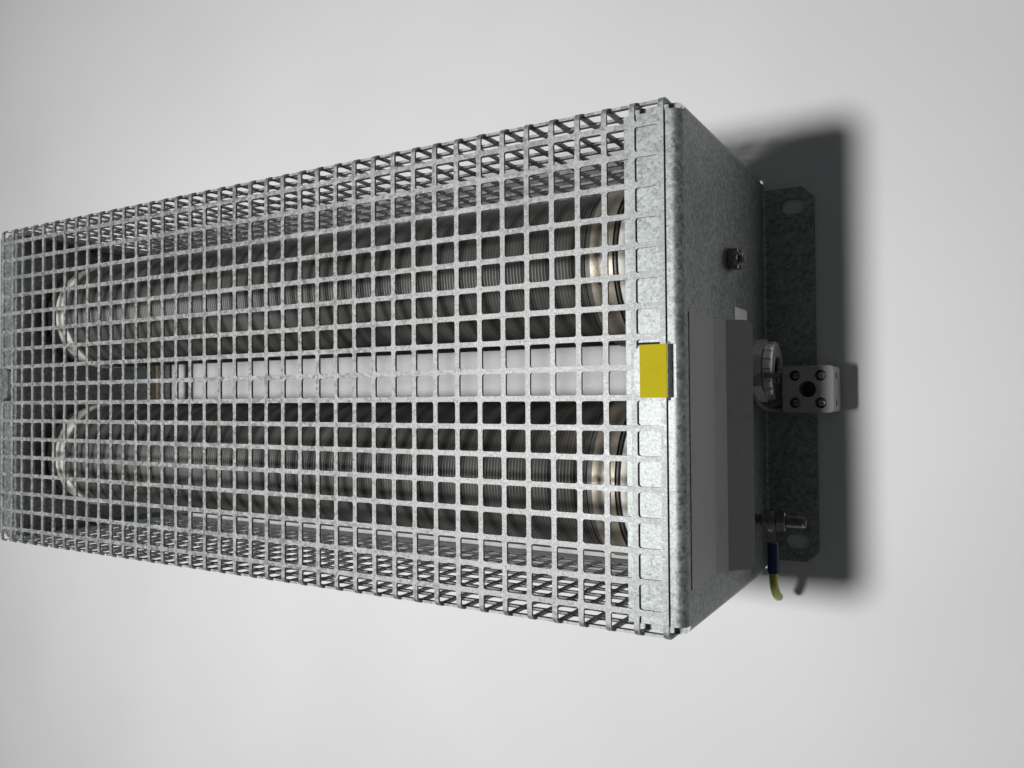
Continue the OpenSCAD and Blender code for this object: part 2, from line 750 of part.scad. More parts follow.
module terminal_screws() {
    slot_w = 0.6;
    slot_depth = 1;
    color([0.75, 0.72, 0.6]) block_sites() translate([0, 0, entry_z + screw_lift]) difference() {
        cylinder(h = clamp_screw_h, d = clamp_screw_d, $fn = 24);
        translate([-clamp_screw_d, -slot_w / 2, clamp_screw_h - slot_depth])
            cube([2 * clamp_screw_d, slot_w, slot_depth + 1]);
    }
}

// ---------- earth stud ----------

// Hexagon screw whose head lies inside the plate, with a chamfered point
module earth_stud() {
    chamfer = 0.5;
    color([0.75, 0.75, 0.72]) along_x(inner_x - stud_head_h, stud_y, stud_z) {
        hex_prism(nut_af, stud_head_h);
        cylinder(h = stud_head_h + plate_t + stud_out - chamfer, d = stud_d, $fn = 32);
        translate([0, 0, stud_head_h + plate_t + stud_out - chamfer])
            cylinder(h = chamfer, d1 = stud_d, d2 = stud_d - 2 * chamfer, $fn = 32);
    }
}

module earth_inner_nut() {
    color([0.8, 0.79, 0.74]) along_x(inner_nut_x, stud_y, stud_z) hex_nut(nut_af, nut_h, stud_d);
}

module earth_tooth_washer() {
    teeth = 12;
    color([0.7, 0.7, 0.68]) along_x(tooth_x, stud_y, stud_z) difference() {
        ring(tooth_d, stud_d + washer_fit, tooth_t);
        for (i = [0:teeth - 1]) rotate([0, 0, i * 360 / teeth]) translate([tooth_d / 2, 0, -1])
            cylinder(h = tooth_t + 2, d = 1.6, $fn = 16);
    }
}

// Ring lug whose barrel points outwards across the plate
module earth_lug() {
    barrel_d = crimp_d - 2 * crimp_wall;
    color([0.76, 0.76, 0.74]) {
        along_x(lug_x, stud_y, stud_z) difference() {
            union() {
                cylinder(h = lug_t, d = lug_d, $fn = 48);
                translate([-lug_w / 2, -lug_reach, 0]) cube([lug_w, lug_reach, lug_t]);
            }
            translate([0, 0, -1]) cylinder(h = lug_t + 2, d = stud_d + washer_fit, $fn = 32);
        }
        translate([crimp_x, stud_y - lug_reach + eps, stud_z]) rotate([90, 0, 0])
            ring(barrel_d, barrel_d - 2 * lug_t, barrel_len, 32);
    }
}

module earth_spring_washer() {
    color([0.7, 0.7, 0.68]) along_x(spring_x, stud_y, stud_z) difference() {
        ring(spring_d, stud_d + washer_fit, spring_t);
        rotate([0, 0, 20]) translate([0, -0.4, -1]) cube([spring_d, 0.8, spring_t + 2]);
    }
}

module earth_outer_nut() {
    color([0.82, 0.81, 0.76]) along_x(outer_nut_x, stud_y, stud_z)
        hex_nut(nut_af, outer_nut_h, stud_d);
}

module earth_crimp_sleeve() {
    color([0.1, 0.18, 0.45]) translate([crimp_x, crimp_y, stud_z]) rotate([90, 0, 0])
        ring(crimp_d, crimp_d - 2 * crimp_wall, crimp_len, 32);
}

earth_route = [[crimp_x, crimp_y - barrel_len - 1, stud_z], [crimp_x, crimp_y - crimp_len, stud_z],
    [crimp_x - 0.3, crimp_y - crimp_len - 5, stud_z - 1.5],
    [crimp_x - 0.2, crimp_y - crimp_len - 10, stud_z - 5.4],
    [crimp_x, crimp_y - crimp_len - 12.2, stud_z - 9.3]];

module earth_wire_stub() { color([0.62, 0.66, 0.2]) sweep(spline(earth_route, 5), earth_d, 12); }

// ---------- labels ----------

// The label's side view from its top edge down, measured from the plate: stuck flat, then
// bowed, then lifted over the corner of the rod nut that it covers
nut_corner = [rod_washer_t + rod_nut_h, tube_z + rod_nut_af / 2 + label_clear];
bow_x = label_bow * sin(bow_lift);
bow_z = nut_corner[1] + (nut_corner[0] - bow_x) / tan(label_lift);
flap_z = tube_z + rod_d / 2 + label_clear;
label_line = [[0, label_top], [0, bow_z + label_bow * cos(bow_lift)], [bow_x, bow_z],
    [bow_x + (bow_z - flap_z) * tan(label_lift), flap_z]];
label_turns = [0, bow_lift / 2, (bow_lift + label_lift) / 2, label_lift];

module main_label() {
    last = len(label_line) - 1;
    outer = [for (i = [last:-1:0])
        label_line[i] + label_t * [cos(label_turns[i]), sin(label_turns[i])]];
    color([0.9, 0.9, 0.88]) difference() {
        translate([face_x, label_y + label_w / 2, 0]) rotate([90, 0, 0])
            linear_extrude(label_w) polygon(concat(label_line, outer));
        for (s = [0, 1]) translate([0, label_y, 0]) mirror([0, s, 0])
            translate([face_x - 1, label_w / 2 - label_r, flap_z + label_r]) rotate([90, 0, 90])
                linear_extrude(label_line[3][0] + 2) difference() {
                    translate([0, -2 * label_r]) square(2 * label_r);
                    circle(r = label_r, $fn = 32);
                }
    }
}

module small_label() {
    color([0.92, 0.92, 0.9]) translate([face_x, small_y, small_z]) cube([label_t, small_w, small_h]);
}

// Strip of film across the hook's tongue, short of its rounded tip
module yellow_marker() {
    tip = hook_root - hook_len;
    color([0.85, 0.78, 0.12])
        translate([tip + marker_margin, hook_y_front - hook_w / 2, body_h + plate_t])
            cube([hook_len + 1 - marker_margin - 0.2, hook_w, label_t]);
}

module left_ceramic_tube() { ceramic_tube(1); }
module right_ceramic_tube() { ceramic_tube(-1); }
module left_winding() { winding(1); }
module right_winding() { winding(-1); }
module left_tie_rod() { tie_rod(1); }
module right_tie_rod() { tie_rod(-1); }
module front_rod_washers() { rod_washers(1); }
module rear_rod_washers() { rod_washers(-1); }
module front_rod_nuts() { rod_nuts(1); }
module rear_rod_nuts() { rod_nuts(-1); }

perforated_cover();
front_end_plate();
rear_end_plate();
left_ceramic_tube();
right_ceramic_tube();
left_winding();
right_winding();
left_front_band();
left_rear_band();
right_front_band();
right_rear_band();
band_screws();
front_tube_caps();
rear_tube_caps();
left_tie_rod();
right_tie_rod();
front_rod_washers();
rear_rod_washers();
front_rod_nuts();
rear_rod_nuts();
series_link();
lead_bush();
lead_a();
lead_b();
gland_body();
gland_locknut();
gland_seal();
gland_cap();
terminal_block();
terminal_sleeves();
terminal_screws();
earth_stud();
earth_inner_nut();
earth_tooth_washer();
earth_lug();
earth_spring_washer();
earth_outer_nut();
earth_crimp_sleeve();
earth_wire_stub();
main_label();
small_label();
yellow_marker();
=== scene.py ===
"""Housed braking resistor: finishes for every node, and the fine forms the solids leave out.

All lengths are in metres, in the row frame: +X towards the terminal end, +Z up from the table.
"""

import json
import math

import bpy
from mathutils import Matrix, Vector


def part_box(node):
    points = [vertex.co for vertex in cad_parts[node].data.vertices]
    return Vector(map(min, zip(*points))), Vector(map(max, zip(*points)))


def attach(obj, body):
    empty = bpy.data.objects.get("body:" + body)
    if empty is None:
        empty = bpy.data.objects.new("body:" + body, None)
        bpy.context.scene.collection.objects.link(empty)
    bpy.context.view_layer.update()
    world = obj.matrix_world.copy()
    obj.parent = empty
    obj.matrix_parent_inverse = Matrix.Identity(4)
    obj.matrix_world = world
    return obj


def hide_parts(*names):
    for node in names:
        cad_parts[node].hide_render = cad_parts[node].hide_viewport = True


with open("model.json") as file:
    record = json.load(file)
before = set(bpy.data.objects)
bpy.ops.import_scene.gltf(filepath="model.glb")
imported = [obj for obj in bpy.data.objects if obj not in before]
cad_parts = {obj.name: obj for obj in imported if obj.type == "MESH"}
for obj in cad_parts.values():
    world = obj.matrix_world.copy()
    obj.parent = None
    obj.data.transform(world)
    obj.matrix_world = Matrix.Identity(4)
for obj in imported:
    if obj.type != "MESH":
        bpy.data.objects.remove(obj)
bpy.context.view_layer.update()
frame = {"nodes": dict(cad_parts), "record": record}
MM = 0.001

# Lengths that the solids have too
SHEET = 1.0 * MM
SHEET_BEND = 3.0 * MM
HOLE_PITCH = 10.5 * MM
HOLE_SIZE = 8.5 * MM
HOLE_CORNER = 0.9 * MM
TUBE_SPAN = 87.6 * MM
TUBE_Z = 63.4 * MM
STUD_AXIS = (-63.6 * MM, 25.0 * MM)


# ---------- camera, lamp, floor ----------

FRAME_WIDTH = 1024
FOCAL_LENGTH = 807.4      # in pixels of that frame
SENSOR = 36.0
CAMERA_AT = (0.2980, -0.0108, 0.3816)
CAMERA_BACK = (0.5034, -0.0193, 0.8638)
CAMERA_ROLL = -0.43
LAMP_AT = (-0.06, -0.05, 0.86)
LAMP_SIZE = 0.12
LAMP_WATTS = 7.5
ROOM_COLOUR = (0.93, 0.96, 1.0, 1)
ROOM_LIGHT = 0.057        # what falls on the object
ROOM_IN_GLOSS = 0.085     # what metal mirrors
ROOM_BEHIND = 0.72        # what the camera sees past the floor
FLOOR_HALF = 3.0


def make_camera():
    """The viewpoint: above the terminal end, looking down along the housing."""
    back = Vector(CAMERA_BACK).normalized()
    right = Vector((0, 1, 0)).cross(back).normalized()
    right = Matrix.Rotation(math.radians(CAMERA_ROLL), 3, back) @ right
    up = back.cross(right)
    data = bpy.data.cameras.new("camera")
    data.sensor_width = SENSOR
    data.lens = FOCAL_LENGTH / FRAME_WIDTH * SENSOR
    data.clip_start = 0.01
    camera = bpy.data.objects.new("camera", data)
    turn = Matrix((right, up, back)).transposed().to_4x4()
    camera.matrix_world = Matrix.Translation(CAMERA_AT) @ turn
    bpy.context.scene.collection.objects.link(camera)
    bpy.context.scene.camera = camera


def make_light():
    """A small lamp over the housing, and a pale room round it."""
    lamp = bpy.data.lights.new("lamp", "AREA")
    lamp.shape = "DISK"
    lamp.size = LAMP_SIZE
    lamp.energy = LAMP_WATTS
    obj = bpy.data.objects.new("lamp", lamp)
    obj.location = LAMP_AT
    bpy.context.scene.collection.objects.link(obj)
    world = bpy.data.worlds.new("room")
    world.use_nodes = True
    tree = world.node_tree
    room = tree.nodes["Background"]
    room.inputs["Color"].default_value = ROOM_COLOUR
    rays = tree.nodes.new("ShaderNodeLightPath")
    most = tree.nodes.new("ShaderNodeMath")
    most.operation = "MAXIMUM"
    for k, (ray, off, on) in enumerate((("Is Glossy Ray", ROOM_LIGHT, ROOM_IN_GLOSS),
                                        ("Is Camera Ray", 0.0, ROOM_BEHIND))):
        level = tree.nodes.new("ShaderNodeMapRange")
        level.inputs["To Min"].default_value = off
        level.inputs["To Max"].default_value = on
        tree.links.new(rays.outputs[ray], level.inputs["Value"])
        tree.links.new(level.outputs["Result"], most.inputs[k])
    tree.links.new(most.outputs["Value"], room.inputs["Strength"])
    bpy.context.scene.world = world


def make_floor():
    """A plain pale floor that the feet stand on."""
    mesh = bpy.data.meshes.new("floor")
    signs = ((-1, -1), (1, -1), (1, 1), (-1, 1))
    mesh.from_pydata([(x * FLOOR_HALF, y * FLOOR_HALF, 0) for x, y in signs], [], [(0, 1, 2, 3)])
    floor = bpy.data.objects.new("floor", mesh)
    bpy.context.scene.collection.objects.link(floor)
    s = Shader("floor", (0.72, 0.72, 0.715), 0.55)
    s.colour([(0.35, (0.70, 0.70, 0.695)), (0.65, (0.74, 0.74, 0.735))], s.noise(6, 3))
    mesh.materials.append(s.mat)


# ---------- shaders ----------

class Shader:
    """A Principled material with helpers for procedural colour, roughness and bump."""

    def __init__(self, name, colour, rough, metal=0.0, specular=0.5):
        self.mat = bpy.data.materials.new(name)
        self.mat.use_nodes = True
        self.mat.diffuse_color = (*colour, 1)
        self.tree = self.mat.node_tree
        self.bsdf = self.tree.nodes["Principled BSDF"]
        self.bsdf.inputs["Base Color"].default_value = (*colour, 1)
        self.bsdf.inputs["Roughness"].default_value = rough
        self.bsdf.inputs["Metallic"].default_value = metal
        self.bsdf.inputs["Specular IOR Level"].default_value = specular
        self.place = self.tree.nodes.new("ShaderNodeTexCoord").outputs["Object"]

    def link(self, a, b):
        self.tree.links.new(a, b)

    def stretched(self, scale):
        """Object coordinates scaled unevenly, for streaks along one axis."""
        node = self.tree.nodes.new("ShaderNodeMapping")
        node.inputs["Scale"].default_value = scale
        self.link(self.place, node.inputs["Vector"])
        return node.outputs["Vector"]

    def noise(self, scale, detail=2.0, rough=0.5, place=None):
        node = self.tree.nodes.new("ShaderNodeTexNoise")
        node.inputs["Scale"].default_value = scale
        node.inputs["Detail"].default_value = detail
        node.inputs["Roughness"].default_value = rough
        self.link(place or self.place, node.inputs["Vector"])
        return node.outputs["Fac"]

    def cells(self, scale, wander=0.0):
        """Grey value that is random in each cell of a crystal-like pattern."""
        node = self.tree.nodes.new("ShaderNodeTexVoronoi")
        node.inputs["Scale"].default_value = scale
        place = self.place
        if wander:
            warp = self.tree.nodes.new("ShaderNodeTexNoise")
            warp.inputs["Scale"].default_value = scale * 1.7
            self.link(self.place, warp.inputs["Vector"])
            shift = self.tree.nodes.new("ShaderNodeVectorMath")
            shift.operation = "MULTIPLY_ADD"
            shift.inputs[1].default_value = (wander, wander, wander)
            self.link(warp.outputs["Color"], shift.inputs[0])
            self.link(self.place, shift.inputs[2])
            place = shift.outputs["Vector"]
        self.link(place, node.inputs["Vector"])
        split = self.tree.nodes.new("ShaderNodeSeparateColor")
        self.link(node.outputs["Color"], split.inputs["Color"])
        return split.outputs["Red"]

    def blend(self, a, b, share):
        """Mix of two grey values, with b's share fixed."""
        node = self.tree.nodes.new("ShaderNodeMix")
        node.inputs["Factor"].default_value = share
        self.link(a, node.inputs["A"])
        self.link(b, node.inputs["B"])
        return node.outputs["Result"]

    def ramp(self, stops, value):
        node = self.tree.nodes.new("ShaderNodeValToRGB")
        elements = node.color_ramp.elements
        while len(elements) < len(stops):
            elements.new(0.5)
        for element, (at, colour) in zip(elements, stops):
            element.position = at
            element.color = (*colour, 1)
        self.link(value, node.inputs["Fac"])
        return node.outputs["Color"]

    def colour(self, stops, value):
        self.link(self.ramp(stops, value), self.bsdf.inputs["Base Color"])
        return self

    def rough(self, low, high, value):
        node = self.tree.nodes.new("ShaderNodeMapRange")
        node.inputs["To Min"].default_value = low
        node.inputs["To Max"].default_value = high
        self.link(value, node.inputs["Value"])
        self.link(node.outputs["Result"], self.bsdf.inputs["Roughness"])
        return self

    def bump(self, depth, value):
        node = self.tree.nodes.new("ShaderNodeBump")
        node.inputs["Distance"].default_value = depth
        self.link(value, node.inputs["Height"])
        self.link(node.outputs["Normal"], self.bsdf.inputs["Normal"])
        return self


def grey(value, warm=0.0):
    return (value * (1 + warm), value, value * (1 - 1.5 * warm))


CRYSTALS = 700            # zinc crystals in a metre


def galvanised(name, level, spread, metal, rough, uneven, green):
    """Zinc-dipped sheet: fine crystals, dark specks and dull patches."""
    def tint(value):
        return (value * (1 - green), value, value * (1 - green / 3))

    s = Shader(name, tint(level), rough, metal)
    crystals = s.cells(CRYSTALS, wander=0.001)
    speckle = s.noise(CRYSTALS * 1.5, 3, 0.75)
    patches = s.noise(28, 4, 0.6)
    mix = s.blend(s.blend(crystals, speckle, 0.7), patches, 0.2)
    s.colour([(0.36, tint(level - spread)), (0.46, tint(level - 0.25 * spread)),
              (0.56, tint(level + 0.3 * spread)), (0.68, tint(level + spread))], mix)
    s.rough(rough - uneven, rough + uneven, crystals)
    s.bump(0.00006, speckle)
    return s.mat


def plated(name, level, warm, rough, metal=1.0):
    """Zinc or nickel plate with faint stains."""
    s = Shader(name, grey(level, warm), rough, metal)
    stains = s.noise(320, 4, 0.6)
    s.colour([(0.3, grey(level * 0.8, warm)), (0.6, grey(level, warm))], stains)
    s.rough(rough * 0.75, rough * 1.35, s.noise(900, 2))
    s.bump(0.00003, s.noise(2600, 2))
    return s.mat


def ceramic():
    """Unglazed tube ceramic, faintly stained."""
    s = Shader("ceramic", (0.62, 0.60, 0.55), 0.6)
    s.colour([(0.3, (0.50, 0.48, 0.43)), (0.7, (0.66, 0.64, 0.59))], s.noise(90, 5, 0.65))
    s.bump(0.0001, s.noise(1400, 3))
    return s.mat


def winding_coat():
    """Cement over the wire: dark, uneven, with a broad dull sheen."""
    s = Shader("winding_coat", (0.06, 0.058, 0.052), 0.45, 0.0, 0.4)
    rings = s.noise(1, 3, 0.6, s.stretched((260, 12, 12)))
    stains = s.noise(55, 4, 0.6)
    mix = s.blend(rings, stains, 0.45)
    s.colour([(0.3, (0.032, 0.031, 0.028)), (0.7, (0.095, 0.092, 0.082))], mix)
    s.rough(0.34, 0.55, stains)
    s.bump(0.00006, s.noise(1800, 3))
    return s.mat


def plastic(name, colour, rough, shade=0.85):
    """Moulded plastic or rubber, with faint grime and a fine grain."""
    s = Shader(name, colour, rough)
    darker = tuple(c * shade for c in colour)
    s.colour([(0.3, darker), (0.7, colour)], s.noise(70, 4))
    s.bump(0.00003, s.noise(700, 3))
    return s.mat


def film(name, colour, worn, rough, specular):
    """Printed film, blank: satin, with faint handling marks."""
    s = Shader(name, colour, rough, 0.0, specular)
    marks = s.blend(s.noise(120, 5, 0.7), s.noise(22, 3), 0.5)
    s.colour([(0.33, worn), (0.5, colour)], marks)
    s.bump(0.00005, s.noise(160, 2))
    return s.mat


def sleeving(name, colour):
    """Woven glass sleeving with varnish: a fine crossed weave."""
    s = Shader(name, colour, 0.55)
    weave = s.noise(2600, 2, 0.5, s.stretched((1.0, 0.45, 1.0)))
    dark, light = (tuple(c * share for c in colour) for share in (0.6, 1.25))
    s.colour([(0.35, dark), (0.65, light)], weave)
    s.bump(0.00015, weave)
    return s.mat


STRIPE_EDGE = 0.42        # share of the wire's width
STRIPE_BLUR = 0.6 * MM


def earth_insulation():
    """Green insulation with a yellow stripe along its outer side."""
    s = Shader("earth_insulation", (0.35, 0.42, 0.03), 0.35)
    split = s.tree.nodes.new("ShaderNodeSeparateXYZ")
    s.link(s.place, split.inputs["Vector"])
    band = s.tree.nodes.new("ShaderNodeMapRange")
    low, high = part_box("earth_wire_stub")
    middle = low.x + STRIPE_EDGE * (high.x - low.x)
    band.inputs["From Min"].default_value = middle - STRIPE_BLUR
    band.inputs["From Max"].default_value = middle + STRIPE_BLUR
    s.link(split.outputs["X"], band.inputs["Value"])
    s.colour([(0.4, (0.05, 0.14, 0.03)), (0.6, (0.46, 0.43, 0.035))], band.outputs["Result"])
    s.bump(0.00003, s.noise(900, 2))
    return s.mat


FINISHES = {
    "cover_sheet": galvanised("cover_zinc", 0.33, 0.15, 0.65, 0.60, 0.1, 0.02),
    "plate_sheet": galvanised("plate_zinc", 0.29, 0.12, 0.75, 0.54, 0.04, 0.06),
    "ceramic": ceramic(),
    "winding_enamel": winding_coat(),
    # The zinc plating is darkened with painted shade, for the housing's shadow round the earth stud
    "zinc_steel": plated("zinc_plate_painted_shade", 0.34, 0.03, 0.30),
    # The nuts' plating is darkened with painted shade, for the shade on the end plates where they
    # sit
    "nut_steel": plated("nut_plate_painted_shade", 0.26, 0.08, 0.22),
    "link_brass": plated("link_brass", 0.46, 0.22, 0.35),
    "black_plastic": plastic("black_plastic", (0.025, 0.025, 0.025), 0.45),
    "black_rubber": plastic("black_rubber", (0.02, 0.02, 0.02), 0.7),
    # Both leads' sleeving is darkened with painted shade, for the shade under the label where they
    # run
    "lead_olive": sleeving("lead_olive", (0.045, 0.045, 0.026)),
    "lead_grey": sleeving("lead_grey", (0.085, 0.08, 0.07)),
    "nickel_brass": plated("nickel_plate", 0.88, 0.01, 0.42),
    # The terminal block's mid grey is painted shade for the deep shadow it stands in; the real
    # block is near white
    "block_plastic": plastic("block_plastic", (0.44, 0.44, 0.42), 0.45, 0.85),
    # The brass screws are darkened with painted shade, for the shade deep in the block's screw
    # wells
    "brass": plated("brass", 0.16, 0.20, 0.40),
    # The label film is darkened with painted shade, for the shade on the end plate's outer face
    "label_white": film("label_film_painted_shade", (0.35, 0.35, 0.345), (0.26, 0.26, 0.255), 0.5, 0.5),
    "marker_yellow": film("marker_film", (0.45, 0.375, 0.015), (0.39, 0.32, 0.014), 0.85, 0.06),
    "sleeve_blue": plastic("sleeve_blue", (0.012, 0.02, 0.09), 0.35),
    "earth_insulation": earth_insulation(),
}
# The four clamp bands are alike: the near pair is a darker copy with painted shade, the far pair a
# paler copy with painted light
BAND_PAINTED_SHADE = plated("band_plate_painted_shade", 0.27, 0.13, 0.42, 0.5)
BAND_PAINTED_LIGHT = plated("band_painted_light", 0.74, 0.05, 0.45, 0.25)
# Nodes that look different from the rest of their slot: the near bands carry painted shade and the
# far bands painted light, though all four bands are alike; the small label is white paper
OWN_FINISH = {
    "left_front_band": BAND_PAINTED_SHADE,
    "right_front_band": BAND_PAINTED_SHADE,
    "left_rear_band": BAND_PAINTED_LIGHT,
    "right_rear_band": BAND_PAINTED_LIGHT,
    "small_label": film("paper", (0.80, 0.80, 0.78), (0.74, 0.74, 0.72), 0.6, 0.3),
}
SLOT_OF = {row["node"]: row["material_slot"] for row in frame["record"]["subparts"]}


def dress_nodes():
    """A procedural material for each solid that stays in view."""
    for name, obj in frame["nodes"].items():
        obj.data.materials.clear()
        obj.data.materials.append(OWN_FINISH.get(name) or FINISHES[SLOT_OF[name]])


def add_piece(name, verts, faces, slot, node, smooth=35.0):
    """A mesh piece in a slot's finish, riding on the root body in place of a node."""
    mesh = bpy.data.meshes.new(name)
    mesh.from_pydata([tuple(v) for v in verts], [], faces)
    mesh.validate()
    mesh.shade_smooth()
    mesh.set_sharp_from_angle(angle=math.radians(smooth))
    mesh.materials.append(FINISHES[slot])
    obj = bpy.data.objects.new(name, mesh)
    bpy.context.scene.collection.objects.link(obj)
    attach(obj, "root")
    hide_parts(node)


# ---------- perforated cover, with the rounded corners of its punchings ----------

BEND_STEPS = 6
CORNER_STEPS = 3
BAR = HOLE_PITCH - HOLE_SIZE
PAST_BEND = 0.2 * MM      # the row round a bend ends this far down the side
LEAST_MARGIN = 7 * MM     # plain sheet below the last row


class Unfolded:
    """The cover laid flat: s runs across it from the middle of the top, x along it."""

    def __init__(self):
        self.low, self.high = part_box("perforated_cover")
        self.flat_half = self.high.y - SHEET_BEND
        self.radius = SHEET_BEND - SHEET / 2
        self.arc = math.pi / 2 * self.radius
        self.edge = self.flat_half + self.arc + self.high.z - SHEET_BEND - self.low.z

    def place(self, x, s, depth):
        """The folded sheet's point at (x, s), this deep below its outer face."""
        side = math.copysign(1, s)
        s = abs(s)
        if s <= self.flat_half:
            return (x, side * s, self.high.z - depth)
        if s <= self.flat_half + self.arc:
            a = (s - self.flat_half) / self.radius
            r = SHEET_BEND - depth
            return (x, side * (self.flat_half + r * math.sin(a)),
                    self.high.z - SHEET_BEND + r * math.cos(a))
        down = s - self.flat_half - self.arc
        return (x, side * (self.high.y - depth), self.high.z - SHEET_BEND - down)


def cover_rows(sheet):
    """(start, end) of each row of holes across the sheet, on one half."""
    top = int((sheet.flat_half - BAR / 2) / HOLE_PITCH + 0.01)
    rows = [(BAR / 2 + k * HOLE_PITCH, BAR / 2 + k * HOLE_PITCH + HOLE_SIZE) for k in range(top)]
    start = top * HOLE_PITCH + BAR / 2
    end = max(sheet.flat_half + sheet.arc + PAST_BEND, start + HOLE_SIZE)
    rows.append((start, end))
    below = end + BAR
    while below + HOLE_SIZE + LEAST_MARGIN < sheet.edge:
        rows.append((below, below + HOLE_SIZE))
        below += HOLE_PITCH
    return rows


def cover_cell(hole, cell, levels):
    """Flat faces round one hole, as lists of (x, s) points, all wound the same way."""
    (x0, s0, x1, s1), (xa, sa, xb, sb) = hole, cell
    corner = HOLE_CORNER
    rails = [s0 + corner, *[v for v in levels if s0 + corner < v < s1 - corner], s1 - corner]
    faces = [
        [(x0 + corner, sa), (x1 - corner, sa), (x1 - corner, s0), (x0 + corner, s0)],
        [(x0 + corner, s1), (x1 - corner, s1), (x1 - corner, sb), (x0 + corner, sb)],
    ]
    for a, b in zip(rails, rails[1:]):
        faces.append([(xa, a), (x0, a), (x0, b), (xa, b)])
        faces.append([(x1, a), (xb, a), (xb, b), (x1, b)])
    turns = [i * math.pi / 2 / CORNER_STEPS for i in range(CORNER_STEPS + 1)]
    for hx, cx, sx in ((x0, xa, -1), (x1, xb, 1)):
        for hs, cs, ss in ((s0, sa, -1), (s1, sb, 1)):
            mx, ms = hx - sx * corner, hs - ss * corner
            arc = [(mx + sx * corner * math.sin(t), ms + ss * corner * math.cos(t)) for t in turns]
            face = [(cx, cs), (mx, cs), *arc, (cx, ms)]
            faces.append(face if sx * ss < 0 else face[::-1])
    return faces


def make_cover():
    """The whole sheet, drawn flat cell by cell and then folded, with both faces and all edges."""
    sheet = Unfolded()
    length = sheet.high.x - sheet.low.x
    columns = int((length - BAR) / HOLE_PITCH + 0.01)
    first = -(columns * HOLE_PITCH - BAR) / 2
    half = cover_rows(sheet)
    rows = [(-b, -a) for a, b in reversed(half)] + half
    turns = [sheet.flat_half + k * sheet.arc / BEND_STEPS for k in range(BEND_STEPS + 1)]
    levels = sorted([-t for t in turns] + turns)
    flat, index, faces = [], {}, []

    def vertex(point):
        key = (round(point[0] * 1e7), round(point[1] * 1e7))
        if key not in index:
            index[key] = len(flat)
            flat.append(point)
        return index[key]

    for r, (s0, s1) in enumerate(rows):
        sa = -sheet.edge if r == 0 else (rows[r - 1][1] + s0) / 2
        sb = sheet.edge if r == len(rows) - 1 else (s1 + rows[r + 1][0]) / 2
        for c in range(columns):
            x0 = first + c * HOLE_PITCH
            xa = sheet.low.x if c == 0 else x0 - BAR / 2
            xb = sheet.high.x if c == columns - 1 else x0 + HOLE_SIZE + BAR / 2
            hole, cell = (x0, s0, x0 + HOLE_SIZE, s1), (xa, sa, xb, sb)
            faces += [[vertex(p) for p in face] for face in cover_cell(hole, cell, levels)]
    edges = {(f[i - 1], f[i]) for f in faces for i in range(len(f))}
    n = len(flat)
    verts = [sheet.place(x, s, 0) for x, s in flat] + [sheet.place(x, s, SHEET) for x, s in flat]
    inner = [[v + n for v in reversed(f)] for f in faces]
    walls = [[b, a, a + n, b + n] for a, b in edges if (b, a) not in edges]
    add_piece("cover_punched_sheet", verts, faces + inner + walls, "cover_sheet",
              "perforated_cover")


# ---------- windings: one rounded ridge for each turn of wire ----------

TURN = 1.45 * MM
TURN_SHAPE = ((0.0, 0.0), (0.25, 0.7), (0.5, 1.0), (0.75, 0.7))
RIDGE = 0.42 * MM
COLLAR = 13 * MM
COLLAR_DROP = 0.55 * MM
COAT = 2 * MM
ROUND_STEPS = 56


def ring_faces(rows, steps):
    """Quads between each ring of points and the next."""
    return [
        (r * steps + k, r * steps + (k + 1) % steps, (r + 1) * steps + (k + 1) % steps,
         (r + 1) * steps + k)
        for r in range(rows - 1) for k in range(steps)
    ]


def along(axis_y, axis_z, rings, steps):
    """Vertices of a lathed form along +X, from (x, radius) rows or a function of the angle."""
    verts = []
    for ring in rings:
        for k in range(steps):
            a = 2 * math.pi * k / steps
            x, r = ring(a) if callable(ring) else ring
            verts.append((x, axis_y + r * math.cos(a), axis_z + r * math.sin(a)))
    return verts


def helix_rings(start, end, pitch, crest, depth, shape):
    """Rows that follow a helix, clipped to its two ends, with a ridge for each turn."""
    turns = int((end - start) / pitch) + 1
    rings = []
    for i in range(-1, turns):
        for part, lift in shape:
            def row(a, i=i, part=part, lift=lift):
                x = start + (i + part + a / (2 * math.pi)) * pitch
                inside = start < x < end
                return min(max(x, start), end), crest - depth * (1 - lift if inside else 1)
            rings.append(row)
    return rings


def make_winding(side, name, node):
    """The coat over one tube: a ridge for each turn, and a plain collar under each band."""
    low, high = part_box(node)
    outer = (high.z - low.z) / 2
    plain = outer - COLLAR_DROP
    bore = outer - COAT
    first, last = low.x + COLLAR, high.x - COLLAR
    rings = [(low.x, bore), (low.x, plain), (first, plain)]
    rings += helix_rings(first, last, TURN, outer, RIDGE, TURN_SHAPE)
    rings += [(last, plain), (high.x, plain), (high.x, bore), (low.x, bore)]
    verts = along(side * TUBE_SPAN / 2, TUBE_Z, rings, ROUND_STEPS)
    faces = ring_faces(len(rings), ROUND_STEPS)
    add_piece(name, verts, faces, "winding_enamel", node, smooth=60.0)


# ---------- threads, and the nuts and washers of the tie rods ----------

M5_RADIUS = 2.48 * MM
M5_PITCH = 0.8 * MM
M5_FLATS = 8.0 * MM
NUT_DEPTH = 4.0 * MM
NUT_STEPS = 36
WASHER_RADIUS = 5.0 * MM
WASHER_DEPTH = 1.0 * MM
WASHER_STEPS = 40
ROD_TIP = 2.2 * MM
ROD_THREAD = 30 * MM
STUD_HEAD = 3.5 * MM
STUD_SHANK = 2.5 * MM
THREAD_SHAPE = ((0.0, 0.0), (0.35, 1.0), (0.5, 1.0), (0.85, 0.0))
THREAD_STEPS = 32
THREAD_RUNOUT = 0.6 * MM
END_CHAMFER = 0.4 * MM


